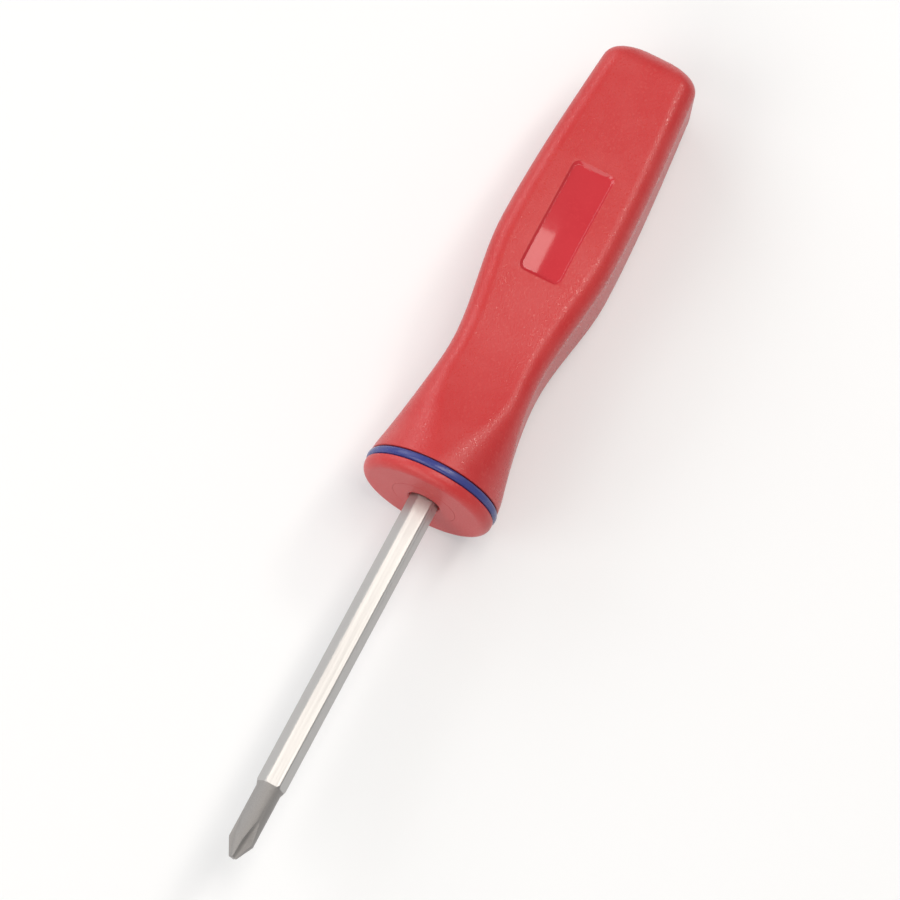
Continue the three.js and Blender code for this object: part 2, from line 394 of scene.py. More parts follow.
def add_node(
    tree: bpy.types.NodeTree,
    kind: str,
    inputs: dict[str | int, object] | None = None,
    **settings: object,
) -> bpy.types.Node:
    """Adds a node with its settings, values and links.

    Args:
        tree: The tree that the node goes into.
        kind: Blender's name for the node's type.
        inputs: A value, or the socket of another node to link from, for each named or numbered input.
        **settings: The node's own settings.

    Returns:
        The new node.
    """
    node = tree.nodes.new(kind)
    for name, value in settings.items():
        setattr(node, name, value)
    for name, value in (inputs or {}).items():
        if isinstance(value, bpy.types.NodeSocket):
            tree.links.new(value, node.inputs[name])
        else:
            node.inputs[name].default_value = value
    return node


def new_material(name: str, viewport: str) -> tuple[bpy.types.Material, bpy.types.NodeTree]:
    """Starts an empty node material.

    Args:
        name: The material's name.
        viewport: Its plain colour, as sRGB hex.

    Returns:
        The material and its node tree, which holds no nodes yet.
    """
    material = bpy.data.materials.new(name)
    material.diffuse_color = linear(viewport)
    material.use_nodes = True
    material.node_tree.nodes.clear()
    return material, material.node_tree


def per_size(millimetres: float) -> float:
    """Gives the scale at which a noise has features of a real size."""
    return 1.0 / (millimetres * MM)


def add_pattern(
    tree: bpy.types.NodeTree,
    noise: dict[str, object],
    taken: tuple[float, float],
    given: tuple[float, float],
) -> tuple[bpy.types.NodeSocket, bpy.types.NodeSocket]:
    """Adds a noise and stretches a span of its values to other values.

    Args:
        tree: The tree that the pattern goes into.
        noise: The inputs of the noise.
        taken: The span of its values that is used.
        given: What the ends of that span become.

    Returns:
        The noise itself and what it is stretched to.
    """
    pattern = add_node(tree, "ShaderNodeTexNoise", noise).outputs["Fac"]
    ends = {"From Min": taken[0], "From Max": taken[1], "To Min": given[0], "To Max": given[1]}
    stretched = add_node(tree, "ShaderNodeMapRange", {"Value": pattern, **ends})
    return pattern, stretched.outputs["Result"]


def add_surface(
    tree: bpy.types.NodeTree,
    relief: bpy.types.NodeSocket,
    depth: float,
    inputs: dict[str, object],
) -> None:
    """Adds the shader of a surface in relief, and the material's output.

    Args:
        tree: The material's tree.
        relief: The pattern of the relief.
        depth: Its depth in millimetres.
        inputs: The shader's values and links, apart from the relief.
    """
    bump = add_node(tree, "ShaderNodeBump", {"Height": relief, "Strength": 1.0, "Distance": depth * MM})
    shader = add_node(tree, "ShaderNodeBsdfPrincipled", {**inputs, "Normal": bump.outputs["Normal"]})
    add_node(tree, "ShaderNodeOutputMaterial", {"Surface": shader.outputs[0]})


@dataclass(frozen=True)
class MouldedPlastic:
    """Cellulose plastic, injection moulded in a spark-eroded tool: a fine grain breaks up its highlights.

    Attributes:
        name: The material's name.
        colour: Its colour as sRGB hex.
        painted_sheen_colour: The colour of slightly paler patches, as sRGB hex: painted sheen, with more
            green and blue to stand for uneven gloss.
        scuff_and_glint_colour: The colour of tiny pale specks, as sRGB hex: partly scuff marks, partly
            painted glints on the grain.
        roughness: Its mean roughness.
        roughness_shares: The share of it in the grain's hollows and on its heights.
        grain_size: Size of the tool's spark craters in millimetres, drawn as coarse as the picture can show.
        grain_depth: Their depth in millimetres, from the highest to the lowest that the noise can give.
        sheen_cloud_size: Size of the patches of painted sheen in millimetres.
        sheen_cloud_span: The values of their noise from where they start to where they are full.
        scuff_and_glint_size: Size of the specks in millimetres.
        scuff_and_glint_span: The values of their noise from where they start to where they are full.
        rubbed: How much smoother the specks along the ridges are rubbed by hands.
        ior: Its index of refraction.
    """

    name: str
    colour: str
    painted_sheen_colour: str
    scuff_and_glint_colour: str
    roughness: float = 0.36
    roughness_shares: tuple[float, float] = (1.16, 0.86)
    grain_size: float = 0.3
    grain_depth: float = 0.055
    sheen_cloud_size: float = 7.0
    sheen_cloud_span: tuple[float, float] = (0.35, 0.7)
    scuff_and_glint_size: float = 0.5
    scuff_and_glint_span: tuple[float, float] = (0.58, 0.66)
    rubbed: float = 0.26
    ior: float = 1.49

    def material(self) -> bpy.types.Material:
        """Makes the material.

        Returns:
            The finished material.
        """
        material, tree = new_material(self.name, self.colour)
        place = add_node(tree, "ShaderNodeTexCoord").outputs["Object"]
        grain = {"Vector": place, "Scale": per_size(self.grain_size), "Detail": 2.0, "Roughness": 0.6}
        sheen_cloud_noise = {"Vector": place, "Scale": per_size(self.sheen_cloud_size), "Detail": 3.0, "Roughness": 0.55}
        scuff_and_glint_noise = {"Vector": place, "Scale": per_size(self.scuff_and_glint_size), "Detail": 1.0, "Roughness": 0.5}
        hollow, height = (self.roughness * share for share in self.roughness_shares)
        relief, spread = add_pattern(tree, grain, NOISE_SPAN, (hollow, height))
        _, painted_sheen_share = add_pattern(tree, sheen_cloud_noise, self.sheen_cloud_span, NOUGHT_TO_ONE)
        _, scuff_and_glint_spots = add_pattern(tree, scuff_and_glint_noise, self.scuff_and_glint_span, NOUGHT_TO_ONE)
        # Painted sheen: paler patches with more green and blue, standing for uneven gloss, are mixed into the
        # colour.
        colour = add_node(
            tree,
            "ShaderNodeMix",
            {"Factor": painted_sheen_share, MIX_FIRST: linear(self.colour), MIX_SECOND: linear(self.painted_sheen_colour)},
            data_type="RGBA",
        )
        # Tiny pale specks, partly scuff marks and partly painted glints on the grain, are mixed in.
        scuffed_and_glinting = add_node(
            tree,
            "ShaderNodeMix",
            {"Factor": scuff_and_glint_spots, MIX_FIRST: colour.outputs[MIX_RESULT], MIX_SECOND: linear(self.scuff_and_glint_colour)},
            data_type="RGBA",
        )
        ridge = add_node(tree, "ShaderNodeAttribute", attribute_name=RIDGE).outputs["Fac"]
        worn = add_node(tree, "ShaderNodeMath", {0: ridge, 1: scuff_and_glint_spots}, operation="MULTIPLY").outputs[0]
        smoother = {0: worn, 1: -self.rubbed, 2: spread}
        rubbed = add_node(tree, "ShaderNodeMath", smoother, operation="MULTIPLY_ADD").outputs[0]
        inputs = {"Base Color": scuffed_and_glinting.outputs[MIX_RESULT], "Roughness": rubbed, "IOR": self.ior}
        add_surface(tree, relief, self.grain_depth, inputs)
        return material


@dataclass(frozen=True)
class PlatedSteel:
    """Drawn steel bar, nickel-chrome plated: bright and grey, with faint lines left by drawing along the bar.

    Attributes:
        name: The material's name.
        colour: Its reflection colour as sRGB hex.
        roughness: Its mean roughness.
        swing: How far the lines swing its roughness either way.
        line_width: Width of a drawing line in millimetres, drawn as coarse as the picture can show.
        line_length: Length of a drawing line in millimetres.
        line_depth: Depth of a drawing line in millimetres.
    """

    name: str = "nickel_chrome_plated_drawn_steel"
    colour: str = "#BFBEBD"
    roughness: float = 0.45
    swing: float = 0.05
    line_width: float = 0.22
    line_length: float = 30.0
    line_depth: float = 0.0012

    def material(self) -> bpy.types.Material:
        """Makes the material.

        Returns:
            The finished material.
        """
        material, tree = new_material(self.name, self.colour)
        place = add_node(tree, "ShaderNodeTexCoord").outputs["Object"]
        along, across = per_size(self.line_length), per_size(self.line_width)
        drawn = add_node(tree, "ShaderNodeMapping", {"Vector": place, "Scale": (along, across, across)})
        lines = {"Vector": drawn.outputs["Vector"], "Scale": 1.0, "Detail": 3.0, "Roughness": 0.6}
        span = (self.roughness - self.swing, self.roughness + self.swing)
        relief, spread = add_pattern(tree, lines, NOISE_SPAN, span)
        inputs = {"Base Color": linear(self.colour), "Metallic": 1.0, "Roughness": spread}
        add_surface(tree, relief, self.line_depth, inputs)
        return material


@dataclass(frozen=True)
class BlastedSteel:
    """Hardened steel blasted with fine grit: dull warm grey, with tiny pits that scatter the light.

    Attributes:
        name: The material's name.
        colour: Its reflection colour as sRGB hex.
        roughness: Its mean roughness.
        swing: How far the pits swing its roughness either way.
        pit_size: Size of a pit in millimetres, drawn as coarse as the picture can show.
        pit_depth: Depth of a pit in millimetres.
    """

    name: str = "grit_blasted_hardened_steel"
    colour: str = "#B0AEAD"
    roughness: float = 0.74
    swing: float = 0.08
    pit_size: float = 0.16
    pit_depth: float = 0.006

    def material(self) -> bpy.types.Material:
        """Makes the material.

        Returns:
            The finished material.
        """
        material, tree = new_material(self.name, self.colour)
        place = add_node(tree, "ShaderNodeTexCoord").outputs["Object"]
        pits = {"Vector": place, "Scale": per_size(self.pit_size), "Detail": 3.0, "Roughness": 0.65}
        span = (self.roughness - self.swing, self.roughness + self.swing)
        relief, spread = add_pattern(tree, pits, NOISE_SPAN, span)
        inputs = {"Base Color": linear(self.colour), "Metallic": 1.0, "Roughness": spread}
        add_surface(tree, relief, self.pit_depth, inputs)
        return material


@dataclass(frozen=True)
class RingRubber:
    """Moulded elastic band: a smooth blue skin with a soft sheen, slightly uneven where it is stretched.

    Attributes:
        name: The material's name.
        colour: Its colour as sRGB hex.
        roughness: Its mean roughness.
        swing: How far the unevenness swings its roughness either way.
        wave_size: Size of the unevenness in millimetres.
        wave_depth: Its depth in millimetres.
        ior: Its index of refraction.
    """

    name: str = "moulded_blue_rubber"
    colour: str = "#3A4288"
    roughness: float = 0.3
    swing: float = 0.1
    wave_size: float = 2.2
    wave_depth: float = 0.07
    ior: float = 1.5

    def material(self) -> bpy.types.Material:
        """Makes the material.

        Returns:
            The finished material.
        """
        material, tree = new_material(self.name, self.colour)
        place = add_node(tree, "ShaderNodeTexCoord").outputs["Object"]
        waves = {"Vector": place, "Scale": per_size(self.wave_size), "Detail": 2.0, "Roughness": 0.5}
        span = (self.roughness - self.swing, self.roughness + self.swing)
        relief, spread = add_pattern(tree, waves, NOISE_SPAN, span)
        inputs = {"Base Color": linear(self.colour), "Roughness": spread, "IOR": self.ior}
        add_surface(tree, relief, self.wave_depth, inputs)
        return material


@dataclass(frozen=True)
class FloorPaper:
    """White background paper: matt, and a little brightened for what looks straight at it or mirrors it.

    Attributes:
        name: The material's name.
        colour: Its colour as sRGB hex.
        lift: How much light it adds to a view of it.
        roughness: Its roughness.
        gloss: How strongly it mirrors, where a half is plain plastic.
    """

    name: str = "white_background_paper"
    colour: str = "#D8DADC"
    lift: float = 0.25
    roughness: float = 0.95
    gloss: float = 0.1

    def material(self) -> bpy.types.Material:
        """Makes the material.

        Returns:
            The finished material.
        """
        material, tree = new_material(self.name, self.colour)
        rays = add_node(tree, "ShaderNodeLightPath").outputs
        seen = rays["Is Camera Ray"]
        for ray in ("Is Glossy Ray", "Is Transmission Ray"):
            seen = add_node(tree, "ShaderNodeMath", {0: seen, 1: rays[ray]}, operation="MAXIMUM").outputs[0]
        strength = add_node(tree, "ShaderNodeMath", {0: seen, 1: self.lift}, operation="MULTIPLY")
        shader = add_node(
            tree,
            "ShaderNodeBsdfPrincipled",
            {
                "Base Color": linear(self.colour),
                "Roughness": self.roughness,
                "Specular IOR Level": self.gloss,
                "Emission Color": (1.0, 1.0, 1.0, 1.0),
                "Emission Strength": strength.outputs[0],
            },
        )
        add_node(tree, "ShaderNodeOutputMaterial", {"Surface": shader.outputs[0]})
        return material


# The pieces.


@dataclass(frozen=True)
class Station:
    """A place along the handle where its half width and slope are given.

    Attributes:
        height: Distance behind the nose in millimetres.
        half_width: Half the width across the flats in millimetres.
        slope: Change of half width per millimetre.
    """

    height: float
    half_width: float
    slope: float = 0.0


def ease(t: float) -> float:
    """Gives a rise from nought to one that starts and ends level."""
    return t * t * (3 - 2 * t)


@dataclass
class HandleForm:
    """The outer form of the handle: round at the nose, square with rounded corners from the waist back."""

    length: float = 96.5
    nose_radius: float = 12.9
    flare: Station = Station(5.05, 12.9, -0.24)
    waist: Station = Station(28.7, 8.9)
    belly: Station = Station(53.0, 11.4)
    tail: Station = Station(90.9, 9.35, -0.08)
    # How far before and behind the flare's station its edge is rounded.
    shoulder: float = 2.2
    # The power of the dome's curve, and the half width that is left as a flat cap.
    dome_fullness: float = 2.2
    dome_cap: float = 1.6
    corner: float = 3.6
    least_corner: float = 0.4
    facets_from: float = 24.0

    @staticmethod
    def between(start: Station, end: Station, height: float) -> float:
        """Gives the half width on the cubic that runs from one station to the next.

        Args:
            start: The station before.
            end: The station behind.
            height: Distance behind the nose in millimetres.

        Returns:
            The half width in millimetres.
        """
        span = end.height - start.height
        t = (height - start.height) / span
        leave = t * (1 - t) ** 2 * span * start.slope
        arrive = t * t * (t - 1) * span * end.slope
        return start.half_width + (end.half_width - start.half_width) * ease(t) + leave + arrive

    def half_width(self, height: float) -> float:
        """Gives half the width across the flats.

        Args:
            height: Distance behind the nose in millimetres.

        Returns:
            The half width in millimetres.
        """
        begin = self.flare.height - self.shoulder
        finish = self.flare.height + self.shoulder
        if height <= begin:
            return self.nose_radius
        if height < finish:
            reached = self.between(self.flare, self.waist, finish)
            fall = (self.nose_radius - reached) / (finish - begin) ** 2
            return self.nose_radius - fall * (height - begin) ** 2
        for start, end in ((self.flare, self.waist), (self.waist, self.belly), (self.belly, self.tail)):
            if height <= end.height:
                return self.between(start, end, height)
        dome = self.length - self.tail.height
        t = min((height - self.tail.height) / dome, 1.0)
        straight = self.tail.half_width + self.tail.slope * (height - self.tail.height)
        return straight * (1 - t**self.dome_fullness) ** (1 / self.dome_fullness)

    def corner_radius(self, height: float, half_width: float) -> float:
        """Gives the radius of the corners: full round at the ring, a plain corner once the flats are out.

        Args:
            height: Distance behind the nose in millimetres.
            half_width: Half the width there in millimetres.

        Returns:
            The radius in millimetres.
        """
        t = (height - self.flare.height) / (self.facets_from - self.flare.height)
        facets = ease(max(0.0, min(1.0, t)))
        return min(half_width + (self.corner - half_width) * facets, ROUND_SHARE * half_width)

    def section(self, height: float, inset: float = 0.0) -> Section:
        """Gives the outline at a place along the handle.

        Args:
            height: Distance behind the nose in millimetres.
            inset: How much smaller it is all round, in millimetres.

        Returns:
            The section.
        """
        wide = self.half_width(height)
        corner = max(self.corner_radius(height, wide) - inset, self.least_corner)
        return Section(height, wide - inset, corner)


@dataclass
class HandleBody:
    """The outer moulding: nose, ring groove, flats, domed butt, badge recess and the space for the core."""

    form: HandleForm = field(default_factory=HandleForm)
    corner_steps: int = 16
    sharp_from: float = 32.0
    # The space for the core, open at the nose.
    bore_radius: float = 6.33
    bore_edge: float = 0.03
    cavity_inset: float = 2.9
    cavity_from: float = 7.9
    cavity_shoulder: float = 0.8
    cavity_to: float = 88.6
    cavity_steps: int = 18
    # The nose, whose face falls by the draft from one outline to the next, and the groove for the ring.
    nose_edge: float = 1.8
    nose_edge_steps: int = 8
    draft: float = 0.004
    groove_from: float = 2.25
    groove_to: float = 4.15
    groove_radius: float = 11.3
    groove_lip: float = 0.12
    groove_draft: float = 0.08
    # The outlines from the groove to the butt.
    station_step: float = 1.25
    dome_steps: int = 12
    # The badge recess. The flat is cut into strips for it, and outlines keep clear of its ends.
    badge_from: float = 44.65
    badge_to: float = 68.55
    badge_half_width: float = 4.25
    badge_corner: float = 1.4
    badge_corner_steps: int = 8
    badge_depth: float = 0.38
    badge_dish: float = 0.24
    badge_wall: float = 0.45
    badge_wall_facing: float = 0.93
    badge_rim: float = 0.1
    badge_rim_steps: int = 3
    badge_strip: float = 1.1
    badge_clear: float = 1.6
    # The ridges fade over a width of the flat and over a share of the corner's radius. What lies nearer to
    # the axis than a share of the half width is inside and has none.
    ridge_fade: float = 1.2
    ridge_corner_share: float = 0.35
    inside_share: float = 0.6

    def outer_heights(self) -> list[float]:
        """Gives the places of the outer sections behind the groove, clear of the badge's corners.

        Returns:
            Distances behind the nose in millimetres, in order.
        """
        start, end = self.groove_to + self.groove_lip, self.form.tail.height
        even = even_steps(start, end, math.ceil((end - start) / self.station_step))[:-1]
        ends = (self.badge_from, self.badge_to)
        free = [height for height in even if all(abs(height - place) > self.badge_clear for place in ends)]
        cap_share = (self.form.dome_cap / self.form.tail.half_width) ** self.form.dome_fullness
        last = math.asin((1 - cap_share) ** (1 / self.form.dome_fullness))
        dome = self.form.length - end
        arc = [end + dome * math.sin(last * step / self.dome_steps) for step in range(self.dome_steps + 1)]
        return sorted([*free, *ends, *arc])

    def sections(self) -> list[Section]:
        """Gives every outline, from the closed end of the cavity out through the bore and back to the butt.

        Returns:
            The sections in order.
        """
        form = self.form
        face = form.nose_radius - self.nose_edge
        back = form.half_width(self.groove_to + self.groove_lip)
        rounds = [
            (self.cavity_from - self.cavity_shoulder, self.bore_radius),
            (self.bore_edge, self.bore_radius),
            (2 * self.draft, self.bore_radius + self.bore_edge),
            (self.draft, (self.bore_radius + face) / 2),
        ]
        for step in range(self.nose_edge_steps + 1):
            angle = math.pi / 2 * step / self.nose_edge_steps
            rounds.append((self.nose_edge * (1 - math.cos(angle)), face + self.nose_edge * math.sin(angle)))
        rounds += [
            (self.groove_from - self.groove_lip, form.nose_radius),
            (self.groove_from, form.nose_radius - self.groove_lip),
            (self.groove_from + self.groove_draft, self.groove_radius),
            (self.groove_to - self.groove_draft, self.groove_radius),
            (self.groove_to, back - self.groove_lip),
        ]
        inner = even_steps(self.cavity_to, self.cavity_from, self.cavity_steps)
        return [
            *(form.section(height, self.cavity_inset) for height in inner),
            *(round_section(height, radius) for height, radius in rounds),
            *(form.section(height) for height in self.outer_heights()),
        ]

    def along_badge(self, point: Vector) -> bool:
        """Says whether a point lies within the badge's length, outside the space for the core."""
        inside = self.form.half_width(self.cavity_from) - self.cavity_inset
        return self.badge_from * MM - NEAR < point.z < self.badge_to * MM + NEAR and point.y > inside * MM

    def in_badge(self, point: Vector) -> bool:
        """Says whether a point of the upper flat lies within the badge's outline."""
        return self.along_badge(point) and abs(point.x) < self.badge_half_width * MM + NEAR

    def is_flat(self, face: bmesh.types.BMFace) -> bool:
        """Says whether a face lies on the upper flat, along the badge."""
        return face.normal.y > MOSTLY and self.along_badge(face.calc_center_median())

    def is_lid(self, face: bmesh.types.BMFace) -> bool:
        """Says whether a face of the upper flat lies where the recess is sunk."""
        return self.is_flat(face) and self.in_badge(face.calc_center_median())

    def is_corner(self, edge: bmesh.types.BMEdge) -> bool:
        """Says whether an edge stands in a corner of the recess.

        Args:
            edge: An edge of the body, whose recess has upright walls.

        Returns:
            True for the four edges in the corners.
        """
        depth = self.badge_depth * MM
        a, b = edge.verts[0].co, edge.verts[1].co
        upright = abs((a - b).length - depth) < NEAR and abs(a.y - b.y) > MOSTLY * depth
        at_side = abs(abs(a.x) - self.badge_half_width * MM) < NEAR
        at_end = min(abs(a.z - self.badge_from * MM), abs(a.z - self.badge_to * MM)) < NEAR
        return upright and at_side and at_end and a.y > 0.0

    def is_floor(self, face: bmesh.types.BMFace) -> bool:
        """Says whether a face is part of the floor of the recess.

        Args:
            face: A face of the body, whose recess has upright walls.

        Returns:
            True for a face of the floor.
        """
        middle = face.calc_center_median()
        level = (self.form.half_width(middle.z / MM) - self.badge_depth / 2) * MM
        return face.normal.y > MOSTLY and self.in_badge(middle) and middle.y < level

    def is_wall(self, face: bmesh.types.BMFace) -> bool:
        """Says whether a face is part of the sloping wall round the recess."""
        return face.normal.y < self.badge_wall_facing and self.in_badge(face.calc_center_median())

    def is_rim(self, edge: bmesh.types.BMEdge) -> bool:
        """Says whether an edge runs round the recess, at its rim or its floor."""
        walls = [self.is_wall(face) for face in edge.link_faces]
        return len(walls) == 2 and walls[0] != walls[1]

    def dish_badge(self, piece: bpy.types.Object) -> None:
        """Draws the floor of the recess in, so that its walls slope, and dishes it.

        Args:
            piece: The body in edit mode, with the floor selected.
        """
        half_length = (self.badge_to - self.badge_from) / 2
        middle_height = self.badge_to - half_length
        floor_half = self.badge_half_width - self.badge_wall
        shrink = (floor_half / self.badge_half_width, 1.0, 1.0 - self.badge_wall / half_length)
        bpy.ops.transform.resize(value=shrink, center_override=(0.0, 0.0, middle_height * MM))
        shape = bmesh.from_edit_mesh(piece.data)
        for vertex in (vertex for vertex in shape.verts if vertex.select):
            sunk = self.badge_dish * (1 - (vertex.co.x / MM / floor_half) ** 2)
            along = vertex.co.z / MM - middle_height
            vertex.co.y -= sunk * MM
            # The floor's ends move in as they sink, so that the end walls keep one slope.
            if abs(along) > half_length - self.badge_clear:
                vertex.co.z -= math.copysign(sunk * self.badge_wall / self.badge_depth, along) * MM
        bmesh.update_edit_mesh(piece.data)

    def sink_badge(self, piece: bpy.types.Object) -> None:
        """Sinks the shallow badge recess, with sloping walls and a dished floor, into the upper flat.

        Args:
            piece: The lofted body, upright.
        """
        edit(piece)
        strips = range(1, int((self.badge_half_width - self.badge_corner) / self.badge_strip) + 1)
        lines = [self.badge_half_width, *(self.badge_strip * strip for strip in strips)]
        for line in [*lines, 0.0, *(-line for line in lines)]:
            pick(piece, Element.FACES, self.is_flat)
            bpy.ops.mesh.bisect(plane_co=(line * MM, 0.0, 0.0), plane_no=(1.0, 0.0, 0.0), threshold=ON_PLANE)
        pick(piece, Element.FACES, self.is_lid)
        extrude((0.0, -self.badge_depth * MM, 0.0))
        corners = pick(piece, Element.EDGES, self.is_corner)
        round_edges(self.badge_corner, self.badge_corner_steps)
        floor = pick(piece, Element.FACES, self.is_floor)
        self.dish_badge(piece)
        rims = pick(piece, Element.EDGES, self.is_rim)
        round_edges(self.badge_rim, self.badge_rim_steps, clamp=True)
        close_up()
        LOG.info("badge recess: %d corners, %d faces of floor, %d edges of rim", corners, floor, rims)

    def mark_ridges(self, piece: bpy.types.Object) -> None:
        """Writes to each point how near it lies to the ridge between a flat and a corner.

        Args:
            piece: The body, upright.
        """
        ridge = piece.data.attributes.new(RIDGE, "FLOAT", "POINT")
        for vertex, value in zip(piece.data.vertices, ridge.data):
            height = vertex.co.z / MM
            wide = self.form.half_width(height)
            corner = self.form.corner_radius(height, wide)
            near, far = sorted((abs(vertex.co.x) / MM, abs(vertex.co.y) / MM))
            past_flat = near - (wide - corner)
            if height < self.form.flare.height or far < wide * self.inside_share:
                value.value = 0.0
            elif past_flat < 0.0:
                value.value = max(0.0, 1.0 + past_flat / self.ridge_fade)
            else:
                value.value = max(0.0, min(1.0, 2.0 - past_flat / (self.ridge_corner_share * corner)))

    def build(self) -> bpy.types.Object:
        """Models the body.

        Returns:
            The body, laid in its place.
        """
        piece = loft("handle_body_moulding", self.sections(), self.corner_steps)
        self.sink_badge(piece)
        self.mark_ridges(piece)
        lay_along_axis(piece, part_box("handle_body")[0].x)
        smooth(piece, self.sharp_from)
        return piece

    def dress(self, piece: bpy.types.Object, outside: MouldedPlastic, badge: MouldedPlastic) -> None:
        """Gives the body its finishes and its place in the assembly.

        Args:
            piece: The body.
            outside: The finish of the moulding.
            badge: The finish of the walls and the floor of the badge recess.
        """
        piece.data.materials.append(outside.material())
        piece.data.materials.append(badge.material())
        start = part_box("handle_body")[0].x
        for face in piece.data.polygons:
            height = (face.center.x - start) / MM
            if not self.badge_from < height < self.badge_to or face.center.z < 0.0:
                continue
            sunk = self.form.half_width(height) - face.center.z / MM
            inside = self.badge_rim < sunk < self.badge_depth + self.badge_dish + self.badge_rim
            if abs(face.center.y) / MM < self.badge_half_width and inside:
                face.material_index = 1
        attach(piece, BODY)
        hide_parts("handle_body")


@dataclass
class Blade:
    """The hexagonal bar with its turned and fluted cross tip, and the tang with two ears in the handle."""

    across_flats: float = 5.0
    corner: float = 0.3
    corner_steps: int = 5
    reach: float = 75.0
    tang: float = 58.0
    clocking: float = 6.0
    # The turned end, and how far the blasting goes.
    tip_diameter: float = 4.8
    tip_length: float = 13.9
    tip_steps: int = 96
    shoulder: float = 1.3
    end_diameter: float = 1.5
    point_angle: float = 26.5
    blasted_to: float = 14.6
    # The flutes. Their root starts near the axis, rises, and runs out of the side at their length.
    flute_count: int = 4
    flute_clocking: float = 27.0
    flute_angle: float = 92.0
    flute_root: float = 0.2
    flute_length: float = 8.8
    flute_root_ease: float = 0.65
    flute_root_steps: int = 8
    # The ears, pressed flat out of the tang.
    ear_span: float = 9.0
    ear_thickness: float = 2.6
    ear_length: float = 8.0
    ear_slope: float = 2.4
    ear_steps: int = 3
    ear_from_nose: float = 40.0
    # The broken edges, the angle from which one shades sharp, and how far a cutter reaches past its cut.
    edge: float = 0.05
    edge_steps: int = 2
    edge_from: float = 28.0
    sharp_from: float = 25.0
    over: float = 2.0

    def hexagon_radius(self) -> float:
        """Gives the radius of the hexagon over its sharp corners, in millimetres."""
        return self.across_flats / 2 / math.cos(THIRTY_DEGREES)

    def bar(self) -> bpy.types.Object:
        """Models the plain bar with rounded corners, a flat facing +y.

        Returns:
            The bar, upright.
        """
        piece = start_piece("blade_bar")
        radius, turn = self.hexagon_radius() * MM, (0, 0, THIRTY_DEGREES)
        bpy.ops.mesh.primitive_circle_add(vertices=6, radius=radius, fill_type="NGON", rotation=turn)
        round_corners(self.corner * math.tan(THIRTY_DEGREES), self.corner_steps)
        bpy.ops.mesh.select_all(action="SELECT")
        extrude((0.0, 0.0, (self.reach + self.tang) * MM))
        close_up()
        return piece

    def envelope(self) -> bpy.types.Object:
        """Models what turning leaves: the pointed tip and the shoulder, and everything beyond them.

        Returns:
            The turned form, upright.
        """
        piece = start_piece("blade_envelope")
        end, radius = self.end_diameter / 2, self.tip_diameter / 2
        point = (radius - end) / math.tan(math.radians(self.point_angle))
        clear = self.across_flats + self.ear_span
        steps = [
            (radius, point),
            (radius, self.tip_length),
            (self.hexagon_radius(), self.tip_length + self.shoulder),
            (clear, self.tip_length + self.shoulder),
            (clear, self.reach + self.tang + self.over),
        ]
        bpy.ops.mesh.primitive_circle_add(vertices=self.tip_steps, radius=end * MM, fill_type="NGON")
        at_radius, at_height = end, 0.0
        for next_radius, next_height in steps:
            extrude((0.0, 0.0, (next_height - at_height) * MM))
            grow = next_radius / at_radius
            bpy.ops.transform.resize(value=(grow, grow, 1.0), center_override=(0.0, 0.0, next_height * MM))
            at_radius, at_height = next_radius, next_height
        close_up()
        return piece

    def flute(self, number: int) -> bpy.types.Object:
        """Models the cutter of one flute, whose root rises and runs out of the side of the tip.

        Args:
            number: Which of the flutes, counted round the axis.

        Returns:
            The cutter, upright.
        """
        piece = start_piece(f"blade_flute_{number}")
        height = self.tip_diameter
        half = height * math.tan(math.radians(self.flute_angle / 2))
        bpy.ops.mesh.primitive_circle_add(vertices=3, radius=height * MM, fill_type="NGON")
        shape = bmesh.from_edit_mesh(piece.data)
        corners = [(0.0, 0.0), (half, height), (-half, height)]
        for vertex, (x, y) in zip(shape.verts, corners):
            vertex.co = Vector((x * MM, y * MM, -self.over * MM))
        bmesh.update_edit_mesh(piece.data)
        bpy.ops.mesh.select_all(action="SELECT")
        extrude((0.0, 0.0, (self.flute_length + 2 * self.over) * MM))
        pick(piece, Element.EDGES, lambda edge: all(math.hypot(v.co.x, v.co.y) < NEAR for v in edge.verts))
        round_edges(self.flute_root_ease, self.flute_root_steps)
        close_up()
        slope = math.atan2(self.tip_diameter / 2 - self.flute_root, self.flute_length)
        move_in_mesh(piece, (-slope, 0.0, 0.0), (0.0, self.flute_root * MM, 0.0))
        turn = math.radians(self.flute_clocking + 360.0 * number / self.flute_count)
        move_in_mesh(piece, (0.0, 0.0, turn), (0.0, 0.0, 0.0))
        return piece

    def ears(self) -> bpy.types.Object:
        """Models the two ears, swaged flat out of the tang.

        Returns:
            The ears as one slab, upright.
        """
        piece = start_piece("blade_ears")
        middle = (self.reach + self.ear_from_nose) * MM
        size = (self.ear_span * MM, self.ear_thickness * MM, (self.ear_length + 2 * self.ear_slope) * MM)
        bpy.ops.mesh.primitive_cube_add(size=1.0, location=(0.0, 0.0, middle), scale=size)
        thickness = size[1]
        pick(piece, Element.EDGES, lambda edge: abs(edge.verts[0].co.y - edge.verts[1].co.y) > thickness / 2)
        round_edges(self.ear_slope, self.ear_steps)
        close_up()
        return piece

    def die(self, side: float) -> bpy.types.Object:
        """Models one of the two dies that press the tang flat between the ears.

        Args:
            side: One for the upper die, minus one for the lower.

        Returns:
            The die, upright.
        """
        piece = start_piece("blade_die")
        deep = self.across_flats
        place = (0.0, side * (self.ear_thickness + deep) / 2 * MM, (self.reach + self.ear_from_nose) * MM)
        size = (2 * deep * MM, deep * MM, self.ear_length * MM)
        bpy.ops.mesh.primitive_cube_add(size=1.0, location=place, scale=size)
        close_up()
        return piece

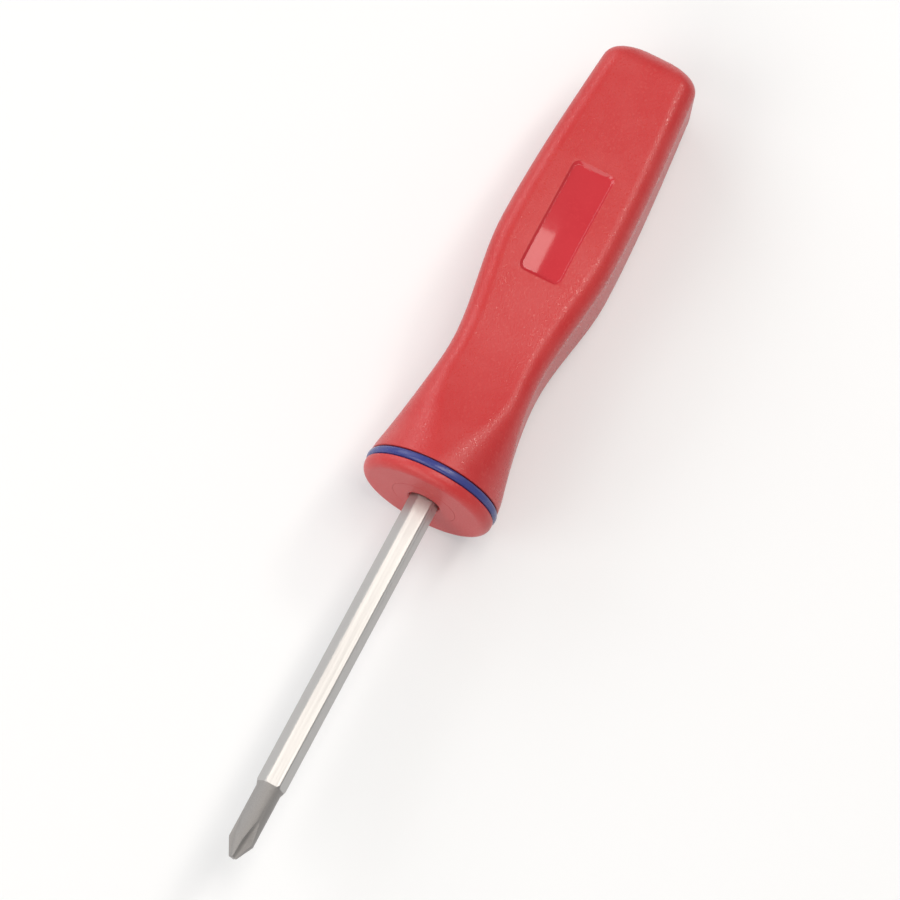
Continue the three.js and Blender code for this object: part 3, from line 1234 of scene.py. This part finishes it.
    def build(self) -> bpy.types.Object:
        """Models the blade.

        Returns:
            The blade, laid in its place.
        """
        piece = self.bar()
        for side in (-1.0, 1.0):
            combine(piece, self.die(side), Joining.CUT)
        combine(piece, self.ears(), Joining.JOIN)
        combine(piece, self.envelope(), Joining.COMMON)
        for number in range(self.flute_count):
            combine(piece, self.flute(number), Joining.CUT)
        piece.name = "hexagon_blade"
        piece.data.name = "hexagon_blade"
        edit(piece)
        close_up()
        apply_modifier(
            piece,
            "BEVEL",
            width=self.edge * MM,
            segments=self.edge_steps,
            limit_method="ANGLE",
            angle_limit=math.radians(self.edge_from),
            use_clamp_overlap=True,
        )
        edit(piece)
        bpy.ops.mesh.select_all(action="SELECT")
        line = (0.0, 0.0, self.blasted_to * MM)
        bpy.ops.mesh.bisect(plane_co=line, plane_no=(0.0, 0.0, 1.0), threshold=ON_PLANE)
        close_up()
        move_in_mesh(piece, (0.0, 0.0, math.radians(self.clocking)), (0.0, 0.0, 0.0))
        lay_along_axis(piece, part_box("blade")[0].x)
        smooth(piece, self.sharp_from)
        return piece

    def seat(self, gap: float) -> bpy.types.Object:
        """Models the space that the tang takes in the plastic round it.

        Args:
            gap: How much larger than the tang it is all round, in millimetres.

        Returns:
            The space as a solid, upright, with the nose of the handle at height zero.
        """
        loose = replace(
            self,
            across_flats=self.across_flats + 2 * gap,
            corner=self.corner + gap,
            tang=self.tang + gap,
            ear_span=self.ear_span + 2 * gap,
            ear_thickness=self.ear_thickness + 2 * gap,
            ear_length=self.ear_length + 2 * gap,
        )
        piece = loose.bar()
        combine(piece, loose.ears(), Joining.JOIN)
        move_in_mesh(piece, (0.0, 0.0, math.radians(self.clocking)), (0.0, 0.0, -self.reach * MM))
        return piece

    def dress(self, piece: bpy.types.Object, bright: PlatedSteel, blasted: BlastedSteel) -> None:
        """Gives the blade its finishes, which meet on a line round the bar, and its place in the assembly.

        Args:
            piece: The blade.
            bright: The finish of the drawn bar.
            blasted: The finish of the end with the tip.
        """
        piece.data.materials.append(bright.material())
        piece.data.materials.append(blasted.material())
        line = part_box("blade")[0].x + self.blasted_to * MM
        for face in piece.data.polygons:
            face.material_index = int(face.center.x < line)
        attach(piece, BODY)
        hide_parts("blade")


@dataclass
class ColourRing:
    """The band in the groove behind the nose, of a nearly round section."""

    thickness: float = 1.7
    corner: float = 0.7
    corner_steps: int = 6
    outer_radius: float = 13.1
    from_nose: float = 3.2
    steps: int = 128
    sharp_from: float = 40.0

    def build(self) -> bpy.types.Object:
        """Models the ring by spinning its section.

        Returns:
            The ring, laid in its place.
        """
        piece = start_piece("colour_ring_band")
        middle = self.outer_radius - self.thickness / 2
        bpy.ops.mesh.primitive_plane_add(
            size=self.thickness * MM,
            location=(middle * MM, 0.0, self.from_nose * MM),
            rotation=(math.pi / 2, 0.0, 0.0),
        )
        round_corners(self.corner, self.corner_steps)
        bpy.ops.mesh.select_all(action="SELECT")
        bpy.ops.mesh.delete(type="ONLY_FACE")
        bpy.ops.mesh.select_all(action="SELECT")
        bpy.ops.mesh.spin(
            steps=self.steps,
            angle=2 * math.pi,
            center=(0.0, 0.0, self.from_nose * MM),
            axis=(0.0, 0.0, 1.0),
            use_auto_merge=True,
        )
        close_up()
        lay_along_axis(piece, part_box("handle_body")[0].x)
        smooth(piece, self.sharp_from)
        return piece

    def dress(self, piece: bpy.types.Object, rubber: RingRubber) -> None:
        """Gives the ring its finish and its place in the assembly.

        Args:
            piece: The ring.
            rubber: Its finish.
        """
        piece.data.materials.append(rubber.material())
        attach(piece, BODY)
        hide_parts("colour_ring")


@dataclass
class HandleCore:
    """The inner moulding round the tang, which shows only as a disc with a shallow sink in the nose."""

    form: HandleForm = field(default_factory=HandleForm)
    corner_steps: int = 16
    sharp_from: float = 32.0
    # The round front end, and the wide part that follows the handle's form behind it.
    spigot_radius: float = 6.3
    spigot_edge: float = 0.03
    wide_from: float = 8.0
    wide_to: float = 88.5
    wide_steps: int = 18
    shoulder: float = 0.8
    side_wall: float = 3.0
    # The sink round the blade, whose floor falls by the draft, and the gap round the tang.
    sink_radius: float = 3.05
    sink_depth: float = 0.6
    sink_edge: float = 0.45
    sink_steps: int = 6
    draft: float = 0.004
    seat_gap: float = 0.06

    def sections(self) -> list[Section]:
        """Gives every outline, from the floor of the sink out over the front and back to the closed end.

        Returns:
            The sections in order.
        """
        rounds = [(self.sink_depth + self.draft, self.sink_radius / 2), (self.sink_depth, self.sink_radius)]
        for step in range(self.sink_steps + 1):
            angle = math.pi / 2 * step / self.sink_steps
            height = self.sink_edge * (1 - math.sin(angle)) + self.draft
            rounds.append((height, self.sink_radius + self.sink_edge * (1 - math.cos(angle))))
        rounds += [
            (0.0, self.spigot_radius - self.spigot_edge),
            (self.spigot_edge, self.spigot_radius),
            (self.wide_from - self.shoulder, self.spigot_radius),
        ]
        wide = even_steps(self.wide_from, self.wide_to, self.wide_steps)
        return [
            *(round_section(height, radius) for height, radius in rounds),
            *(self.form.section(height, self.side_wall) for height in wide),
        ]

    def build(self, blade: Blade) -> bpy.types.Object:
        """Models the core round the blade's tang.

        Args:
            blade: The blade that it is moulded round.

        Returns:
            The core, laid in its place.
        """
        piece = loft("handle_core_moulding", self.sections(), self.corner_steps)
        combine(piece, blade.seat(self.seat_gap), Joining.CUT)
        edit(piece)
        close_up()
        lay_along_axis(piece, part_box("handle_core")[0].x)
        smooth(piece, self.sharp_from)
        return piece

    def dress(self, piece: bpy.types.Object, plastic: MouldedPlastic) -> None:
        """Gives the core its finish and its place in the assembly.

        Args:
            piece: The core.
            plastic: The finish of the moulding.
        """
        piece.data.materials.append(plastic.material())
        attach(piece, BODY)
        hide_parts("handle_core")


# The studio.


@dataclass(frozen=True)
class Softbox:
    """A flat lamp with a diffuser.

    Attributes:
        name: Its name.
        place: Where its middle hangs, in metres.
        target: What it points at, in metres.
        size: Its width and height in metres.
        radiance: How bright it looks, where one is white.
        colour: Its colour as sRGB hex.
    """

    name: str
    place: Triple
    target: Triple
    size: tuple[float, float]
    radiance: float
    colour: str = "#FFFFFF"

    def hang(self) -> None:
        """Adds the lamp and points it at its target."""
        clear_selection()
        bpy.ops.object.light_add(type="AREA", location=self.place)
        lamp = bpy.context.object
        lamp.name = self.name
        lamp.data.shape = "RECTANGLE"
        lamp.data.size, lamp.data.size_y = self.size
        lamp.data.energy = math.pi * self.size[0] * self.size[1] * self.radiance
        lamp.data.color = linear(self.colour)[:3]
        aim = Vector(self.target) - Vector(self.place)
        lamp.rotation_euler = aim.to_track_quat("-Z", "Y").to_euler()


TOOL_MIDDLE = (0.1, 0.0, 0.0)
SOFTBOXES = (
    Softbox("key_softbox", (0.2, -0.14, 0.9), (0.2, -0.14, 0.0), (0.5, 0.38), 4.5, WARM_WHITE),
    Softbox("strip_softbox", (0.55, -0.36, 0.9), (0.55, -0.36, 0.0), (0.4, 0.12), 7.0, WARM_WHITE),
    Softbox("rear_softbox", (0.95, -0.38, 0.9), (0.95, -0.38, 0.0), (0.24, 0.26), 16.0, WARM_WHITE),
    Softbox("front_left_softbox", (-0.5, 0.6, 0.7), TOOL_MIDDLE, (0.6, 0.6), 3.0, "#FFFBF7"),
    Softbox("left_softbox", (0.45, 0.95, 0.55), TOOL_MIDDLE, (0.9, 0.5), 2.6),
    Softbox("front_softbox", (-0.9, 0.1, 0.5), TOOL_MIDDLE, (0.8, 0.5), 2.2, WARM_WHITE),
)


@dataclass
class Studio:
    """A white floor that the tool rests on, soft lamps, and the camera at the photograph's angle."""

    # Where the ring and the belly touch the floor: distances along the tool's axis and above it.
    rest_front: tuple[float, float] = (78.2, -13.1)
    rest_back: tuple[float, float] = (136.2, -11.265)
    # The floor's size in metres, and the colour of the room's soft light.
    floor_size: float = 4.0
    world: str = "#919191"
    # How the tool lies in the picture: its angles, its scale and where its nose shows.
    nose: float = 75.0
    tilt: float = 17.923
    roll: float = 6.0
    picture_angle: float = 61.72
    pixels_per_mm: float = 5.531
    picture_width: float = 900.0
    nose_pixel: tuple[float, float] = (423.59, 502.30)
    # The camera: its distance, the width of its sensor, and how far it sees in metres.
    distance: float = 1200.0
    sensor: float = 36.0
    sight: float = 20.0

    def floor(self, paper: FloorPaper) -> None:
        """Lays the floor under the ring and the belly, which the tool rests on.

        Args:
            paper: The floor's finish.
        """
        piece = start_piece("floor")
        bpy.ops.mesh.primitive_plane_add(size=self.floor_size)
        bpy.ops.object.mode_set(mode="OBJECT")
        (front_x, front_z), (back_x, back_z) = self.rest_front, self.rest_back
        slope = math.atan2(back_z - front_z, back_x - front_x)
        move_in_mesh(piece, (0.0, -slope, 0.0), (front_x * MM, 0.0, front_z * MM))
        piece.data.materials.append(paper.material())

    def light(self) -> None:
        """Hangs the lamps and sets the soft light of the room."""
        for softbox in SOFTBOXES:
            softbox.hang()
        world = bpy.data.worlds.new("room")
        bpy.context.scene.world = world
        world.use_nodes = True
        world.node_tree.nodes["Background"].inputs["Color"].default_value = linear(self.world)

    def camera(self) -> None:
        """Sets the camera where the photograph was taken from."""
        tilt, roll, turn = (math.radians(a) for a in (self.tilt, self.roll, self.picture_angle))
        towards = Vector((-math.sin(tilt), -math.sin(roll) * math.cos(tilt), math.cos(roll) * math.cos(tilt)))
        along = Vector((math.cos(tilt), -math.sin(roll) * math.sin(tilt), math.cos(roll) * math.sin(tilt)))
        across = Vector((0.0, -math.cos(roll), -math.sin(roll)))
        right = along * math.cos(turn) + across * math.sin(turn)
        up = along * math.sin(turn) - across * math.cos(turn)
        middle = self.picture_width / 2
        shift_right = (middle - self.nose_pixel[0]) / self.pixels_per_mm
        shift_up = (self.nose_pixel[1] - middle) / self.pixels_per_mm
        target = Vector((self.nose, 0.0, 0.0)) + right * shift_right + up * shift_up
        clear_selection()
        bpy.ops.object.camera_add()
        camera = bpy.context.object
        camera.name = "photo_camera"
        place = Matrix((right, up, towards)).transposed().to_4x4()
        place.translation = (target + towards * self.distance) * MM
        camera.matrix_world = place
        camera.data.sensor_width = self.sensor
        camera.data.lens = self.pixels_per_mm * self.distance / self.picture_width * self.sensor
        camera.data.clip_end = self.sight
        bpy.context.scene.camera = camera


def main() -> None:
    """Sets up the studio, then builds the pieces in order and dresses them."""
    logging.basicConfig(level=logging.INFO, format="%(name)s: %(message)s")
    bpy.context.scene.view_settings.view_transform = "Standard"
    clear_selection()

    studio = Studio()
    studio.camera()
    studio.light()
    studio.floor(FloorPaper())

    blade = Blade()
    steel = blade.build()
    blade.dress(steel, PlatedSteel(), BlastedSteel())

    body = HandleBody()
    moulding = body.build()
    # Each plastic's second colour is its painted sheen and its third its pale specks, partly scuff marks and
    # partly painted glints.
    outside = MouldedPlastic("moulded_red_cellulose", "#C63234", "#C94041", "#CB4342")
    badge = MouldedPlastic(
        "polished_red_cellulose",
        "#C6323B",
        "#CA373F",
        "#CA373F",
        roughness=0.09,
        grain_size=0.5,
        grain_depth=0.0008,
    )
    body.dress(moulding, outside, badge)

    core = HandleCore()
    inner = core.build(blade)
    front = MouldedPlastic(
        "moulded_red_core_cellulose",
        "#C43234",
        "#C93738",
        "#C93738",
        roughness=0.34,
        grain_depth=0.03,
    )
    core.dress(inner, front)

    ring = ColourRing()
    band = ring.build()
    ring.dress(band, RingRubber())

    clear_selection()
    for piece in (steel, moulding, inner, band):
        LOG.info("%s: %d faces", piece.name, len(piece.data.polygons))


if __name__ == "__main__":
    main()
